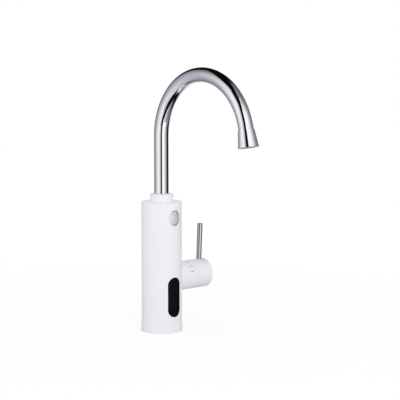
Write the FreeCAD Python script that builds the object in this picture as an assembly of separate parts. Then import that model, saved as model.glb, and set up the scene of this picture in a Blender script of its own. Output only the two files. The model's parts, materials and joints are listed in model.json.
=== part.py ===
import FreeCAD, Part
import math
import os

# Instant hot water tap, in millimetres.
# The origin is on the body's axis in the plane of the worktop.
# +Z is up, the spout, badge and display face -Y, the lever is on +X.

Vector = FreeCAD.Vector
X_AXIS = Vector(1, 0, 0)
Y_AXIS = Vector(0, 1, 0)
Z_AXIS = Vector(0, 0, 1)

# Clearances
fit_gap = 0.05            # radial gap of pieces that are assembled and stay put
run_gap = 0.06            # radial gap of a turning fit
float_gap = 0.3           # radial gap of the floating magnet piston
face_gap = 0.05           # gap between flat faces that slide on each other
seam_gap = 0.3            # visible seam between the sleeve and the knob
wall_gap = 0.6            # room left between inner pieces and the body's wall
loose_gap = 0.2           # gap of pieces and screw heads that drop in
screw_tip_room = 0.5      # blind hole left beyond a screw's tip

# Body, foot ring and base plate
body_d = 58.0
body_wall = 2.5
body_top_wall = 2.5
body_height = 188.0
shoulder_round = 1.0
ring_overhang = 1.0       # how far the ring stands out from the body
ring_height = 11.0
ring_ledge = 2.0
ring_edge = 0.6
plate_thickness = 6.0
plate_lip = 3.0
plate_lip_overlap = 1.6
gasket_width = 2.6
gasket_thickness = 1.5
gasket_margin = 0.6
base_screw_d = 3.0
base_screw_inset = 6.0
base_screw_angles = (0, 140, 220)
boss_d = 6.0
boss_height = 8.0
boss_web = 3.0
screw_head_d = 5.4
screw_head_height = 2.0
screw_depth = 6.0
driver_length = 0.62      # length of a screw's cross slots, as a share of its head
driver_width = 0.16       # width of the cross slots, as a share of the head

# Water inlet, strainer and cable gland in the base
inlet_y = -5.0
inlet_bore_d = 18.6
inlet_thread_length = 14.0
inlet_spigot_d = 24.0
inlet_flange_d = 27.0
inlet_flange_thickness = 3.0
inlet_body_d = 21.0
inlet_height = 19.0
inlet_nose_length = 4.0
water_way_d = 7.0
strainer_thickness = 1.5
strainer_rim = 1.2
strainer_hole_d = 1.6
strainer_pitch = 2.6
gland_inlet_gap = 0.5
gland_d = 11.0
gland_flange_d = 14.0
gland_flange_thickness = 3.0
gland_tail = 3.0
gland_bore_d = 7.2
gland_recess = 0.4

# Flow switch
flow_wall = 2.5
flow_bore_d = 13.0
flow_throat = 6.0
flow_nose_length = 5.0
flow_nose_d = 12.0
flow_nose_room = 0.5
piston_length = 12.0
piston_travel = 8.0
piston_bore_d = 4.0
spring_wire_d = 0.8
spring_coil_d = 9.0
spring_turns = 7
reed_width = 6.0
reed_height = 16.0
reed_depth = 3.5

# Side valve, with its axis along X
valve_axis_z = 76.0
valve_d = 32.0
valve_drop = 18.0         # from the valve's axis down to its inlet face
valve_rise = 19.0         # from the valve's axis up to its outlet face
valve_port_d = 18.0
neck_d = 30.0
neck_reach = 12.0         # how far the neck stands out of the body
disc_seat_x = 4.0
disc_d = 21.0
disc_thickness = 3.0
disc_port_d = 6.0
disc_port_rise = 6.0      # height of the disc's ports above and below the axis
cartridge_wall = 1.3
cartridge_length = 26.0
cartridge_nut_length = 6.0
cartridge_nut_bore_d = 14.0
cartridge_seal_width = 1.6
cartridge_seal_thickness = 1.2
tenon_width = 3.0
tenon_length = 14.0
tenon_depth = 1.5
pocket_floor = 0.5        # left between the moving disc's pocket and its tenon slot
stem_d = 10.0
stem_flange_d = 17.0
stem_flange_thickness = 3.0
stem_tip_d = 8.0
stem_tip_flat = 3.0
stem_shank_reach = 4.0    # how far the full stem stands out of its nut
stem_tip_room = 0.5
stem_lever_gap = 1.0
ring_seal_d = 1.36
ring_seal_groove = 1.7
stem_seal_from_end = 6.0

# Side sleeve, knob and lever
knob_d = 42.2
knob_reach = 51.8         # from the body's side to the knob's end
knob_end_wall = 2.8
knob_wall = 2.5
knob_edge_round = 0.6
hub_d = 18.0
sleeve_reach = 23.0       # from the body's side to the seam
sleeve_web = 3.0
sleeve_nut_length = 4.0
sleeve_nut_wall = 2.95
sleeve_nut_gap = 0.6      # between the nut and the sleeve's bore
sleeve_nut_inset = 1.0    # from the neck's end back to the nut
bush_wall = 1.3
bush_length = 8.0
skirt_wall = 2.0
skirt_length = 7.0
lever_d = 7.6
lever_length = 74.0       # from the knob's axis to the lever's tip
lever_inset = 10.1        # from the knob's end to the lever
lever_lean = 2.6          # degrees away from the body
lever_tip_edge = 0.5
lever_thread = 4.0
set_screw_d = 4.0
set_screw_length = 5.0

# Heating chamber
pipe_d = 13.0
pipe_bore_d = 8.0
pipe_seat = 7.0
chamber_gap = 6.0         # from the valve's outlet face to the chamber's base
chamber_base_thickness = 6.0
chamber_side_gap = 1.5
chamber_flange_width = 5.5
chamber_flange_thickness = 2.0
chamber_wall = 0.9
chamber_round = 4.0
chamber_seal_thickness = 1.5
chamber_neck_d = 16.0
chamber_neck_bore_d = 13.0
chamber_neck_length = 7.0
chamber_screw_count = 4
chamber_screw_d = 3.0
element_d = 6.6
element_offset = 8.5
element_top_gap = 8.0
element_step = 14.0
element_tail = 4.0
bridge_width = 4.0
bridge_thickness = 1.2
lead_d = 2.4
lead_bend = 2.5
lead_gap = 1.0            # between the leads and the valve
cutout_d = 11.0
cutout_below_top = 32.0
sensor_d = 4.0
sensor_head_d = 8.0
sensor_reach = 9.0
sensor_below_top = 9.0

# Control electronics
board_thickness = 1.6
control_board_inset = 5.5
control_board_bottom = 16.0
control_board_height = 42.0
post_width = 4.0
post_depth = 5.0
post_offset = 6.0
post_slot = 4.0
relay_width = 16.0
relay_flow_gap = 2.4      # between the relay and the flow switch
relay_height = 18.0
relay_bottom = 24.0
block_width = 24.0
block_depth = 6.0
block_height = 10.0
block_bottom = 46.0

# Display and badge
window_width = 21.7
window_bottom = 22.8
window_length = 57.8
window_gap = 0.1
lens_lip = 1.5
lens_lip_thickness = 1.0
module_width = 17.0
module_length = 48.0
module_lens_gap = 0.2
display_board_width = 22.0
display_board_edge = 0.5  # board left beyond its bosses
display_valve_gap = 1.0   # between the display's screw heads and the valve
display_boss_d = 6.0
display_boss_margin = 0.8
display_screw_d = 2.5
display_screw_length = 5.0
display_screw_head = 1.25
badge_width = 17.0
badge_height = 22.0
badge_thickness = 1.0
badge_below_top = 21.5     # from the body's top to the badge's middle
badge_glue = 0.02

# Spout and its bearing
collar_d = 33.2
collar_height = 11.5
collar_lid = 2.5
collar_round = 0.8
socket_d = 28.0
socket_flange_d = 35.0
socket_flange_thickness = 3.0
socket_tail = 3.5
socket_nose = 6.0
socket_bore_d = 23.0
socket_floor = 2.5
tube_d = 20.9
tube_wall = 0.8
tube_seat = 5.5
riser_top = 282.4
bend_radius = 89.3
bend_angle = 168.6        # degrees
washer_height = 2.4
insert_bore_d = 15.0
insert_seal_step = 3.0

# Nozzle
nozzle_top_d = 22.8
nozzle_tip_d = 29.4
nozzle_length = 24.1
nozzle_lip = 0.9
nozzle_socket = 8.0
nozzle_stop = 1.5
nozzle_stop_overlap = 1.2
aerator_d = 21.8
aerator_seal_thickness = 1.5
aerator_recess = 1.2
aerator_face = 2.0
aerator_wall = 1.6
aerator_hole_d = 1.7
aerator_rings = 3
aerator_pitch = 3.0

# Places worked out from the sizes above
body_r = body_d / 2
ring_r = body_r + ring_overhang
bore_r = body_r - body_wall
housing_bottom = plate_lip + ring_ledge
roof_z = body_height - body_top_wall
plate_r = bore_r - loose_gap
lip_r = plate_r + plate_lip_overlap
gland_y = inlet_y + inlet_flange_d / 2 + gland_inlet_gap + gland_flange_d / 2
base_screw_r = bore_r - base_screw_inset
flow_bottom = inlet_height
flow_top = valve_axis_z - valve_drop
flow_d = flow_bore_d + 2 * flow_wall
piston_bottom = inlet_height + inlet_nose_length + face_gap
spring_bottom = piston_bottom + piston_length
spring_top = flow_top - flow_throat
valve_r = valve_d / 2
valve_shoulder_x = math.sqrt((bore_r - fit_gap) ** 2 - valve_r ** 2)
neck_end_x = body_r + neck_reach
disc_r = disc_d / 2
cartridge_r = disc_r + fit_gap + cartridge_wall
cartridge_bore_r = cartridge_r + fit_gap
fixed_disc_end = disc_seat_x + disc_thickness
moving_disc_x = fixed_disc_end + face_gap
moving_disc_end = moving_disc_x + disc_thickness
stem_flange_end = moving_disc_end + stem_flange_thickness
cartridge_end = disc_seat_x + cartridge_length
knob_r = knob_d / 2
knob_end_x = body_r + knob_reach
seam_x = body_r + sleeve_reach
knob_start_x = seam_x + seam_gap
sleeve_bore_r = knob_r - knob_wall
sleeve_nut_x = neck_end_x - sleeve_nut_length - sleeve_nut_inset
sleeve_nut_r = sleeve_bore_r - sleeve_nut_gap
sleeve_web_x = sleeve_nut_x - sleeve_web
neck_thread_r = sleeve_nut_r - sleeve_nut_wall - fit_gap
bush_bore_r = sleeve_bore_r - fit_gap - bush_wall
skirt_r = bush_bore_r - run_gap
lever_x = knob_end_x - lever_inset
lever_r = lever_d / 2
stem_end_x = lever_x - lever_r - stem_lever_gap
set_screw_x = (knob_start_x + stem_end_x) / 2
valve_top = valve_axis_z + valve_rise
chamber_floor = valve_top + chamber_gap
chamber_seal_z = chamber_floor + chamber_base_thickness
chamber_flange_z = chamber_seal_z + chamber_seal_thickness
chamber_flange_r = bore_r - chamber_side_gap
shell_r = chamber_flange_r - chamber_flange_width
chamber_screw_r = (shell_r + chamber_flange_r) / 2
socket_flange_z = roof_z - socket_flange_thickness
socket_bottom = socket_flange_z - socket_tail
chamber_top = socket_bottom - chamber_neck_length
control_board_x = -(bore_r - control_board_inset)
control_board_mid = control_board_x + board_thickness / 2
control_board_half = math.sqrt((bore_r - wall_gap) ** 2 - control_board_x ** 2)
control_board_top = control_board_bottom + control_board_height
relay_depth = -flow_d / 2 - relay_flow_gap - control_board_x - board_thickness
valve_tail_x = control_board_mid + lead_d / 2 + lead_gap
window_top = window_bottom + window_length
window_mid = (window_bottom + window_top) / 2
lens_back_r = bore_r - fit_gap - lens_lip_thickness
module_half = module_width / 2
module_y = -math.sqrt(lens_back_r ** 2 - module_half ** 2) + module_lens_gap
display_board_back = -(valve_r + display_valve_gap + display_screw_head)
display_board_y = display_board_back - board_thickness
display_boss_drop = display_boss_d / 2 + display_boss_margin
display_boss_heights = (window_bottom - display_boss_drop, window_top + display_boss_drop)
display_board_margin = display_boss_d / 2 + display_board_edge
badge_z = body_height - badge_below_top
socket_r = socket_d / 2
socket_bore_r = socket_bore_d / 2
socket_bore_z = socket_bottom + socket_floor
collar_top = body_height + collar_height
lid_z = collar_top - collar_lid
tube_r = tube_d / 2
insert_bottom = socket_bore_z + face_gap
insert_top = lid_z - washer_height - 2 * face_gap
insert_r = socket_bore_r - run_gap
tube_bottom = insert_top - tube_seat
bend_centre = Vector(0, -bend_radius, riser_top)


def rod(radius, length, base, axis=Z_AXIS):
    return Part.makeCylinder(radius, length, base, axis)


def pipe(outer, inner, length, base, axis=Z_AXIS):
    return rod(outer, length, base, axis).cut(rod(inner, length, base, axis))


def block(low, high):
    size = high - low
    return Part.makeBox(size.x, size.y, size.z, low)


def fuse(first, *others):
    for other in others:
        first = first.fuse(other)
    return first.removeSplitter()


def cut(first, *others):
    for other in others:
        first = first.cut(other)
    return first


def on_axis(z):
    return Vector(0, 0, z)


def on_knob_axis(x):
    return Vector(x, 0, valve_axis_z)


def polar(radius, degrees, z):
    angle = math.radians(degrees)
    return Vector(radius * math.cos(angle), radius * math.sin(angle), z)


def round_edges(shape, place, coordinate, radius):
    # the circular edges of one radius that lie in the plane coordinate = place
    found = []
    for edge in shape.Edges:
        box = edge.BoundBox
        low = getattr(box, coordinate + "Min")
        high = getattr(box, coordinate + "Max")
        in_plane = abs(low - place) < 1e-3 and abs(high - place) < 1e-3
        if in_plane and hasattr(edge.Curve, "Radius") and abs(edge.Curve.Radius - radius) < 1e-3:
            found.append(edge)
    return found


def seal_ring(outer_r, centre, axis=Z_AXIS):
    section_r = ring_seal_d / 2
    return Part.makeTorus(outer_r - section_r, section_r, centre, axis)


def seal_groove(outer_r, centre, axis=Z_AXIS):
    base = centre - axis * (ring_seal_groove / 2)
    floor_r = outer_r - ring_seal_d - fit_gap
    return pipe(outer_r + ring_seal_d, floor_r, ring_seal_groove, base, axis)


def screw(diameter, head_d, head_height, length, seat, axis):
    # made upright with the face under its head at zero, then set on its seat with its head along axis
    shank = rod(diameter / 2, length, on_axis(-length))
    head = rod(head_d / 2, head_height, Vector())
    half_long = head_d * driver_length / 2
    half_wide = head_d * driver_width / 2
    slots = [
        block(Vector(-x, -y, head_height / 2), Vector(x, y, head_height))
        for x, y in ((half_long, half_wide), (half_wide, half_long))
    ]
    made = cut(fuse(shank, head), *slots)
    made.Placement = FreeCAD.Placement(seat, FreeCAD.Rotation(Z_AXIS, axis))
    return made


def hole_grid(radius, hole_d, pitch, centre, depth):
    # upright holes on a hexagonal grid inside a circle
    holes = []
    reach = int(radius / pitch) + 1
    for row in range(-reach, reach + 1):
        for column in range(-reach, reach + 1):
            x = pitch * (column + 0.5 * (row % 2))
            y = pitch * row * math.sqrt(3) / 2
            if math.hypot(x, y) + hole_d / 2 < radius:
                holes.append(rod(hole_d / 2, depth, centre + Vector(x, y, 0)))
    return Part.makeCompound(holes)


def stadium(width, bottom, top):
    # upright slot shape with round ends, extruded from the axis towards the front
    radius = width / 2
    depth = 2 * body_r
    low = Vector(0, -depth, bottom + radius)
    high = Vector(0, -depth, top - radius)
    slab = block(Vector(-radius, -depth, low.z), Vector(radius, 0, high.z))
    return fuse(slab, rod(radius, depth, low, Y_AXIS), rod(radius, depth, high, Y_AXIS))


def bent_wire(points, bend, diameter):
    # a round wire along straight runs with an arc of one radius at each inner point
    edges = []
    start = points[0]
    for before, corner, after in zip(points, points[1:], points[2:]):
        into = (before - corner).normalize()
        out = (after - corner).normalize()
        half = into.getAngle(out) / 2
        setback = bend / math.tan(half)
        first = corner + into * setback
        last = corner + out * setback
        centre = corner + (into + out).normalize() * (bend / math.sin(half))
        middle = centre + (corner - centre).normalize() * bend
        edges.append(Part.makeLine(start, first))
        edges.append(Part.Arc(first, middle, last).toShape())
        start = last
    edges.append(Part.makeLine(start, points[-1]))
    direction = points[1] - points[0]
    section = Part.Wire([Part.makeCircle(diameter / 2, points[0], direction)])
    return Part.Wire(edges).makePipeShell([section], True, False)


def to_nozzle(shape):
    # from an upright frame with its zero at the end of the bend, pointing along the flow
    turn = FreeCAD.Rotation(X_AXIS, bend_angle)
    angle = math.radians(bend_angle)
    end = bend_centre + Vector(0, math.cos(angle), math.sin(angle)) * bend_radius
    moved = shape.copy()
    moved.Placement = FreeCAD.Placement(end, turn)
    return moved


# Body, foot ring and base


def main_housing():
    length = body_height - housing_bottom
    outside = rod(body_r, length, on_axis(housing_bottom))
    outside = outside.makeFillet(shoulder_round, round_edges(outside, body_height, "Z", body_r))
    shell = outside.cut(rod(bore_r, roof_z - housing_bottom, on_axis(housing_bottom)))
    for angle in base_screw_angles:
        foot = polar(base_screw_r, angle, plate_thickness)
        web = block(
            Vector(base_screw_r, -boss_web / 2, plate_thickness),
            Vector(bore_r + body_wall / 2, boss_web / 2, plate_thickness + boss_height),
        )
        web.rotate(Vector(), Z_AXIS, angle)
        boss = fuse(rod(boss_d / 2, boss_height, foot), web)
        shell = fuse(shell, boss)
        shell = shell.cut(rod(base_screw_d / 2 + fit_gap, screw_depth + screw_tip_room, foot))
    for height in display_boss_heights:
        wall_y = -(bore_r + body_wall / 2)
        boss = rod(display_boss_d / 2, display_board_y - wall_y, Vector(0, wall_y, height), Y_AXIS)
        hole_depth = display_screw_length + screw_tip_room
        hole_base = Vector(0, display_board_y - hole_depth, height)
        hole = rod(display_screw_d / 2 + fit_gap, hole_depth, hole_base, Y_AXIS)
        shell = fuse(shell, boss).cut(hole)
    spout_hole = rod(socket_r + fit_gap, 2 * body_top_wall, on_axis(roof_z - body_top_wall / 2))
    neck_hole = rod(neck_d / 2 + 2 * fit_gap, body_r, on_knob_axis(valve_r), X_AXIS)
    window = stadium(
        window_width + 2 * window_gap, window_bottom - window_gap, window_top + window_gap
    )
    return cut(shell, spout_hole, neck_hole, window)


def base_ring():
    ring = rod(ring_r, ring_height, Vector())
    ring = ring.makeChamfer(ring_edge, round_edges(ring, ring_height, "Z", ring_r))
    body_seat = rod(body_r + fit_gap, ring_height, on_axis(housing_bottom))
    lip_seat = rod(lip_r + fit_gap, plate_lip, Vector())
    return cut(ring, body_seat, lip_seat, rod(plate_r + fit_gap, ring_height, Vector()))


def base_plate():
    plate = fuse(rod(plate_r, plate_thickness, Vector()), rod(lip_r, plate_lip, Vector()))
    for side in (-1, 1):
        middle = Vector(control_board_mid, side * post_offset, 0)
        half_post = Vector(post_depth / 2, post_width / 2, 0)
        half_slot = Vector(board_thickness / 2 + fit_gap, post_width, 0)
        post_top = on_axis(control_board_bottom + post_slot)
        post = block(middle - half_post + on_axis(plate_thickness / 2), middle + half_post + post_top)
        slot = block(middle - half_slot + on_axis(control_board_bottom), middle + half_slot + post_top)
        plate = fuse(plate, post.cut(slot))
    groove_r = lip_r - gasket_margin
    groove = pipe(groove_r + fit_gap, groove_r - gasket_width - fit_gap, gasket_thickness, Vector())
    inlet_hole = rod(inlet_spigot_d / 2 + fit_gap, plate_thickness, Vector(0, inlet_y, 0))
    gland_hole = rod(gland_d / 2 + fit_gap, plate_thickness, Vector(0, gland_y, 0))
    plate = cut(plate, groove, inlet_hole, gland_hole)
    for angle in base_screw_angles:
        foot = polar(base_screw_r, angle, 0)
        hole = rod(base_screw_d / 2 + fit_gap, plate_thickness, foot)
        recess = rod(screw_head_d / 2 + loose_gap, screw_head_height + loose_gap, foot)
        plate = cut(plate, hole, recess)
    return plate


def deck_gasket():
    outer = lip_r - gasket_margin
    return pipe(outer, outer - gasket_width, gasket_thickness, Vector())


def base_screws():
    seat_z = screw_head_height + loose_gap
    length = plate_thickness - seat_z + screw_depth
    screws = []
    for angle in base_screw_angles:
        seat = polar(base_screw_r, angle, seat_z)
        screws.append(screw(base_screw_d, screw_head_d, screw_head_height, length, seat, -Z_AXIS))
    return Part.makeCompound(screws)


def inlet_fitting():
    foot = Vector(0, inlet_y, 0)
    flange_foot = foot + on_axis(plate_thickness)
    body = fuse(
        rod(inlet_spigot_d / 2, plate_thickness, foot),
        rod(inlet_flange_d / 2, inlet_flange_thickness, flange_foot),
        rod(inlet_body_d / 2, inlet_height - plate_thickness, flange_foot),
        rod(flow_bore_d / 2 - fit_gap, inlet_nose_length, foot + on_axis(inlet_height)),
    )
    strainer_seat = foot + on_axis(inlet_thread_length)
    return cut(
        body,
        rod(inlet_bore_d / 2, inlet_thread_length, foot),
        rod(inlet_bore_d / 2 - strainer_rim, strainer_thickness, strainer_seat),
        rod(water_way_d / 2, inlet_height, strainer_seat),
    )


def inlet_strainer():
    radius = inlet_bore_d / 2 - strainer_rim - fit_gap
    foot = Vector(0, inlet_y, inlet_thread_length)
    holes = hole_grid(radius - strainer_rim, strainer_hole_d, strainer_pitch, foot, strainer_thickness)
    return rod(radius, strainer_thickness, foot).cut(holes)


def cable_gland():
    foot = Vector(0, gland_y, gland_recess)
    flange_foot = Vector(0, gland_y, plate_thickness)
    height = plate_thickness + gland_flange_thickness + gland_tail - gland_recess
    body = fuse(
        rod(gland_d / 2, height, foot),
        rod(gland_flange_d / 2, gland_flange_thickness, flange_foot),
    )
    return body.cut(rod(gland_bore_d / 2, height, foot))


# Flow switch


def flow_switch_housing():
    foot = Vector(0, inlet_y, flow_bottom)
    body = fuse(
        rod(flow_d / 2, flow_top - flow_bottom, foot),
        rod(flow_nose_d / 2, flow_nose_length, Vector(0, inlet_y, flow_top)),
    )
    chamber = rod(flow_bore_d / 2, spring_top - flow_bottom, foot)
    throat = rod(water_way_d / 2, flow_throat + flow_nose_length, Vector(0, inlet_y, spring_top))
    return cut(body, chamber, throat)


def flow_piston():
    foot = Vector(0, inlet_y, piston_bottom)
    return pipe(flow_bore_d / 2 - float_gap, piston_bore_d / 2, piston_length, foot)


def flow_spring():
    wire_r = spring_wire_d / 2
    coil_r = spring_coil_d / 2
    height = spring_top - spring_bottom - spring_wire_d - 2 * face_gap
    spine = Part.makeHelix(height / spring_turns, height, coil_r)
    section = Part.Wire([Part.makeCircle(wire_r, Vector(coil_r, 0, 0), Y_AXIS)])
    coil = Part.Wire(spine.Edges).makePipeShell([section], True, True)
    coil.translate(Vector(0, inlet_y, spring_bottom + wire_r + face_gap))
    return coil


def reed_switch():
    bottom = piston_bottom + piston_travel / 2
    low = Vector(-reed_width / 2, inlet_y, bottom)
    high = Vector(reed_width / 2, inlet_y + flow_d / 2 + reed_depth, bottom + reed_height)
    tube = rod(flow_d / 2 + fit_gap, reed_height, Vector(0, inlet_y, bottom))
    return block(low, high).cut(tube)


# Side valve


def disc_port(rise, y, start_x, length):
    return rod(disc_port_d / 2, length, on_knob_axis(start_x) + Vector(0, y, rise), X_AXIS)


def valve_body():
    body = fuse(
        rod(valve_r, valve_shoulder_x - valve_tail_x, on_knob_axis(valve_tail_x), X_AXIS),
        rod(neck_d / 2, sleeve_web_x - valve_tail_x, on_knob_axis(valve_tail_x), X_AXIS),
        rod(neck_thread_r, neck_end_x - sleeve_web_x, on_knob_axis(sleeve_web_x), X_AXIS),
        rod(valve_port_d / 2, valve_drop, Vector(0, inlet_y, flow_top)),
        rod(valve_port_d / 2, valve_rise, on_knob_axis(0)),
    )
    seal_outer = cartridge_r - fit_gap
    in_rise = valve_drop - disc_port_rise + water_way_d / 2
    out_start = valve_axis_z + disc_port_rise - water_way_d / 2
    return cut(
        body,
        rod(cartridge_bore_r, neck_end_x, on_knob_axis(disc_seat_x), X_AXIS),
        pipe(
            seal_outer + fit_gap,
            seal_outer - cartridge_seal_width - fit_gap,
            cartridge_seal_thickness,
            on_knob_axis(disc_seat_x - cartridge_seal_thickness),
            X_AXIS,
        ),
        rod(flow_nose_d / 2 + fit_gap, flow_nose_length + flow_nose_room, Vector(0, inlet_y, flow_top)),
        rod(water_way_d / 2, in_rise, Vector(0, inlet_y, flow_top)),
        disc_port(-disc_port_rise, inlet_y, 0, disc_seat_x),
        rod(pipe_d / 2 + fit_gap, pipe_seat, on_axis(valve_top - pipe_seat)),
        rod(water_way_d / 2, valve_rise, on_axis(out_start)),
        disc_port(disc_port_rise, 0, 0, disc_seat_x),
    )


def cartridge_seal():
    outer = cartridge_r - fit_gap
    start = on_knob_axis(disc_seat_x - cartridge_seal_thickness)
    return pipe(outer, outer - cartridge_seal_width, cartridge_seal_thickness, start, X_AXIS)


def fixed_disc():
    return cut(
        rod(disc_r, disc_thickness, on_knob_axis(disc_seat_x), X_AXIS),
        disc_port(-disc_port_rise, inlet_y, disc_seat_x, disc_thickness),
        disc_port(disc_port_rise, 0, disc_seat_x, disc_thickness),
    )


def tenon(grow):
    half = Vector(0, tenon_width / 2 + grow, tenon_length / 2 + grow)
    middle = on_knob_axis(moving_disc_end)
    return block(middle - half - X_AXIS * tenon_depth, middle + half)


def moving_disc():
    # a shallow pocket in the sliding face joins the two ports when the disc is turned
    disc = rod(disc_r - float_gap, disc_thickness, on_knob_axis(moving_disc_x), X_AXIS)
    pocket = pipe(
        disc_port_rise + disc_port_d / 2,
        disc_port_rise - disc_port_d / 2,
        disc_thickness - tenon_depth - pocket_floor,
        on_knob_axis(moving_disc_x),
        X_AXIS,
    )
    rear_half = block(
        Vector(moving_disc_x, 0, valve_axis_z - disc_d),
        Vector(moving_disc_end, disc_d, valve_axis_z + disc_d),
    )
    return cut(disc, pocket.common(rear_half), tenon(fit_gap))


def cartridge_housing():
    start = on_knob_axis(disc_seat_x)
    cavity = rod(disc_r + fit_gap, stem_flange_end + face_gap - disc_seat_x, start, X_AXIS)
    stem_hole = rod(stem_d / 2 + run_gap, cartridge_length, start, X_AXIS)
    return cut(rod(cartridge_r, cartridge_length, start, X_AXIS), cavity, stem_hole)


def cartridge_nut():
    nut = pipe(
        cartridge_r, cartridge_nut_bore_d / 2, cartridge_nut_length, on_knob_axis(cartridge_end), X_AXIS
    )
    notch_half = cartridge_nut_bore_d / 8
    notch_x = cartridge_end + cartridge_nut_length / 2
    notch = block(
        Vector(notch_x, -2 * cartridge_r, valve_axis_z - notch_half),
        Vector(cartridge_end + cartridge_nut_length, 2 * cartridge_r, valve_axis_z + notch_half),
    )
    return nut.cut(notch)


def stem_seal_place():
    return on_knob_axis(cartridge_end - stem_seal_from_end)


def valve_stem():
    tip_start = cartridge_end + cartridge_nut_length + stem_shank_reach
    stem = fuse(
        rod(stem_flange_d / 2, stem_flange_thickness, on_knob_axis(moving_disc_end), X_AXIS),
        rod(stem_d / 2, tip_start - moving_disc_end, on_knob_axis(moving_disc_end), X_AXIS),
        rod(stem_tip_d / 2, stem_end_x - tip_start, on_knob_axis(tip_start), X_AXIS),
        tenon(0),
    )
    flat = block(
        Vector(tip_start, -stem_d, valve_axis_z - stem_d),
        Vector(stem_end_x, stem_d, valve_axis_z - stem_tip_flat),
    )
    return cut(stem, flat, seal_groove(stem_d / 2, stem_seal_place(), X_AXIS))


def stem_seal():
    return seal_ring(stem_d / 2, stem_seal_place(), X_AXIS)


# Side sleeve, knob and lever


def side_sleeve():
    start = on_knob_axis(0)
    tube = pipe(knob_r, sleeve_bore_r, seam_x, start, X_AXIS)
    web_r = sleeve_bore_r + knob_wall / 2
    web = pipe(web_r, neck_thread_r + fit_gap, sleeve_web, on_knob_axis(sleeve_web_x), X_AXIS)
    body = rod(body_r + fit_gap, body_height, Vector())
    return fuse(tube, web).cut(body)


def sleeve_nut():
    return pipe(
        sleeve_nut_r, neck_thread_r + fit_gap, sleeve_nut_length, on_knob_axis(sleeve_nut_x), X_AXIS
    )


def knob_bush():
    start = on_knob_axis(seam_x - bush_length)
    return pipe(sleeve_bore_r - fit_gap, bush_bore_r, bush_length, start, X_AXIS)


def lever_solid(radius, start, length):
    # a round bar on the lever's leaning axis, measured from the knob's axis
    lean = math.radians(lever_lean)
    axis = Vector(math.sin(lean), 0, math.cos(lean))
    return rod(radius, length, on_knob_axis(lever_x) + axis * start, axis)


def control_knob():
    length = knob_end_x - knob_start_x
    cup = rod(knob_r, length, on_knob_axis(knob_start_x), X_AXIS)
    cup = cup.makeFillet(knob_edge_round, round_edges(cup, knob_end_x, "X", knob_r))
    cup = cup.cut(rod(sleeve_bore_r, length - knob_end_wall, on_knob_axis(knob_start_x), X_AXIS))
    skirt_start = knob_start_x - skirt_length
    skirt_end = knob_start_x + skirt_wall
    skirt_bore_r = skirt_r - skirt_wall
    skirt = pipe(skirt_r, skirt_bore_r, skirt_end - skirt_start, on_knob_axis(skirt_start), X_AXIS)
    step_r = sleeve_bore_r + knob_wall / 2
    step = pipe(step_r, skirt_bore_r, skirt_wall, on_knob_axis(knob_start_x), X_AXIS)
    hub_end = knob_end_x - knob_end_wall / 2
    hub = rod(hub_d / 2, hub_end - skirt_start, on_knob_axis(skirt_start), X_AXIS)
    bore_end = stem_end_x + stem_tip_room
    stem_bore = rod(stem_tip_d / 2 + fit_gap, bore_end - skirt_start, on_knob_axis(skirt_start), X_AXIS)
    flat_key = block(
        Vector(skirt_start, -stem_d, valve_axis_z - stem_d),
        Vector(bore_end, stem_d, valve_axis_z - stem_tip_flat - fit_gap),
    )
    knob = fuse(cup, skirt, step, hub).cut(stem_bore.cut(flat_key))
    screw_way = rod(set_screw_d / 2 + fit_gap, knob_d, on_knob_axis(set_screw_x), -Z_AXIS)
    lever_way = lever_solid(lever_r + fit_gap, hub_d / 2 - lever_thread, lever_length)
    return cut(knob, screw_way, lever_way)


def lever_rod():
    lever = lever_solid(lever_r, hub_d / 2 - lever_thread, lever_length - hub_d / 2 + lever_thread)
    tip = [edge for edge in lever.Edges if edge.BoundBox.ZMin > valve_axis_z + lever_length - lever_d]
    return lever.makeChamfer(lever_tip_edge, tip)


def knob_set_screw():
    start = on_knob_axis(set_screw_x) - Z_AXIS * (stem_tip_flat + fit_gap)
    socket = rod(set_screw_d / 4, set_screw_length / 2, start - Z_AXIS * set_screw_length)
    return rod(set_screw_d / 2, set_screw_length, start, -Z_AXIS).cut(socket)


# Heating chamber


def pipe_seal_places():
    return (
        on_axis(valve_top - pipe_seat / 2),
        on_axis(chamber_floor + chamber_base_thickness / 2),
    )


def transfer_pipe():
    bottom = valve_top - pipe_seat
    body = pipe(pipe_d / 2, pipe_bore_d / 2, chamber_seal_z - bottom, on_axis(bottom))
    return cut(body, *[seal_groove(pipe_d / 2, place) for place in pipe_seal_places()])


def pipe_seals():
    return Part.makeCompound([seal_ring(pipe_d / 2, place) for place in pipe_seal_places()])


def element_feet():
    near = element_offset
    return [Vector(x, y, chamber_floor - element_tail) for x in (-near, near) for y in (-near, near)]


def chamber_screw_places(z):
    step = 360 / chamber_screw_count
    return [polar(chamber_screw_r, step * index, z) for index in range(chamber_screw_count)]


def chamber_base():
    base = rod(chamber_flange_r, chamber_base_thickness, on_axis(chamber_floor))
    base = base.cut(rod(pipe_d / 2 + fit_gap, chamber_base_thickness, on_axis(chamber_floor)))
    for foot in element_feet():
        base = base.cut(rod(element_d / 2 + fit_gap, chamber_floor, foot))
    for place in chamber_screw_places(chamber_floor):
        base = base.cut(rod(chamber_screw_d / 2 + fit_gap, chamber_base_thickness, place))
    return base


def chamber_seal():
    seal = pipe(
        chamber_flange_r, shell_r - chamber_wall, chamber_seal_thickness, on_axis(chamber_seal_z)
    )
    holes = [
        rod(chamber_screw_d / 2 + fit_gap, chamber_seal_thickness, place)
        for place in chamber_screw_places(chamber_seal_z)
    ]
    return cut(seal, *holes)


def sensor_z():
    return chamber_top - sensor_below_top


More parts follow.
